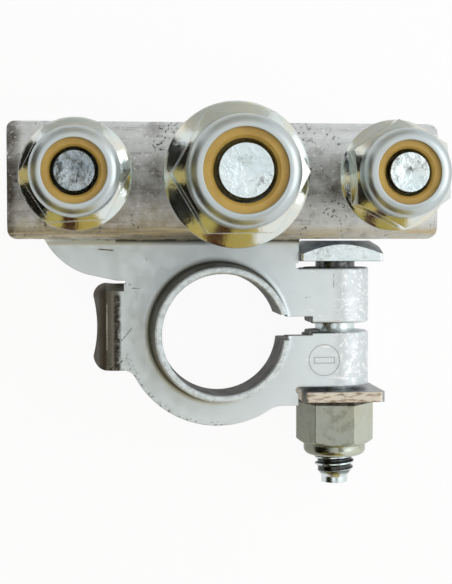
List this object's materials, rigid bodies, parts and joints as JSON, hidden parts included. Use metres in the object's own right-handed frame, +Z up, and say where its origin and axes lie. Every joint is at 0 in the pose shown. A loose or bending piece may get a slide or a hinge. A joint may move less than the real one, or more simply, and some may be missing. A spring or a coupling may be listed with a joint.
{
  "type": "battery terminal clamp",
  "caption": "Stamped clamp for a battery post, with a split collar, rolled ears on a square-head bolt, and a raised rail of threaded studs with flange lock nuts for cable lugs.",
  "frame": {"origin": "On the post bore's axis, at the height of the plate's top face.", "axes": "+Z up along the battery post and the studs, +X along the rail towards the clamp bolt's side, +Y from the bore to the rail."},
  "size_m": [0.0606, 0.0543, 0.0424],
  "materials": {
    "tinned_brass": "dull tin plate with worn specks",
    "zinc_steel": "bright zinc plate",
    "dull_zinc": "dull yellowish zinc plate",
    "nylon": "amber nylon"
  },
  "bodies": {
    "body": {"clamp_body": "tinned_brass", "stud_left": "zinc_steel", "stud_centre": "zinc_steel", "stud_right": "zinc_steel"},
    "bolt": {"clamp_bolt": "zinc_steel"},
    "washer": {"square_washer": "dull_zinc"},
    "ring_left": {"nylon_ring_left": "nylon"},
    "nut_left": {"flange_nut_left": "zinc_steel"},
    "ring_centre": {"nylon_ring_centre": "nylon"},
    "nut_centre": {"flange_nut_centre": "zinc_steel"},
    "ring_right": {"nylon_ring_right": "nylon"},
    "nut_right": {"flange_nut_right": "zinc_steel"},
    "clamp_ring": {"clamp_nut_ring": "nylon"},
    "clamp_nut": {"clamp_nut": "dull_zinc"}
  },
  "joints": [
    {"name": "bolt_play", "type": "slide", "parent": "body", "child": "bolt", "axis": [0, -1, 0], "range_m": [0, 0.0009]},
    {"name": "washer_play", "type": "slide", "parent": "body", "child": "washer", "axis": [0, 1, 0], "range_m": [0, 0.0005]},
    {"name": "left_nut_travel", "type": "slide", "parent": "body", "child": "ring_left", "axis": [0, 0, 1], "range_m": [-0.01395, 0.007]},
    {"name": "left_nut_turn", "type": "hinge", "parent": "ring_left", "child": "nut_left", "pos_m": [-0.0201, 0.0217, 0.02], "axis": [0, 0, 1], "range_deg": [-5023, 2521]},
    {"name": "centre_nut_travel", "type": "slide", "parent": "body", "child": "ring_centre", "axis": [0, 0, 1], "range_m": [-0.01395, 0.009]},
    {"name": "centre_nut_turn", "type": "hinge", "parent": "ring_centre", "child": "nut_centre", "pos_m": [0.0005, 0.0217, 0.02], "axis": [0, 0, 1], "range_deg": [-4019, 2593]},
    {"name": "right_nut_travel", "type": "slide", "parent": "body", "child": "ring_right", "axis": [0, 0, 1], "range_m": [-0.01395, 0.007]},
    {"name": "right_nut_turn", "type": "hinge", "parent": "ring_right", "child": "nut_right", "pos_m": [0.0211, 0.0217, 0.02], "axis": [0, 0, 1], "range_deg": [-5023, 2521]},
    {"name": "clamp_nut_travel", "type": "slide", "parent": "bolt", "child": "clamp_ring", "axis": [0, -1, 0], "range_m": [0, 0.0085]},
    {"name": "clamp_nut_turn", "type": "hinge", "parent": "clamp_ring", "child": "clamp_nut", "pos_m": [0.0181, -0.01055, -0.005], "axis": [0, -1, 0], "range_deg": [-1, 3061]}
  ],
  "couplings": [
    {"joint": "left_nut_turn", "follows": "left_nut_travel", "rad_per_m": 6283.2},
    {"joint": "centre_nut_turn", "follows": "centre_nut_travel", "rad_per_m": 5026.5},
    {"joint": "right_nut_turn", "follows": "right_nut_travel", "rad_per_m": 6283.2},
    {"joint": "clamp_nut_turn", "follows": "clamp_nut_travel", "rad_per_m": 6283.2}
  ]
}
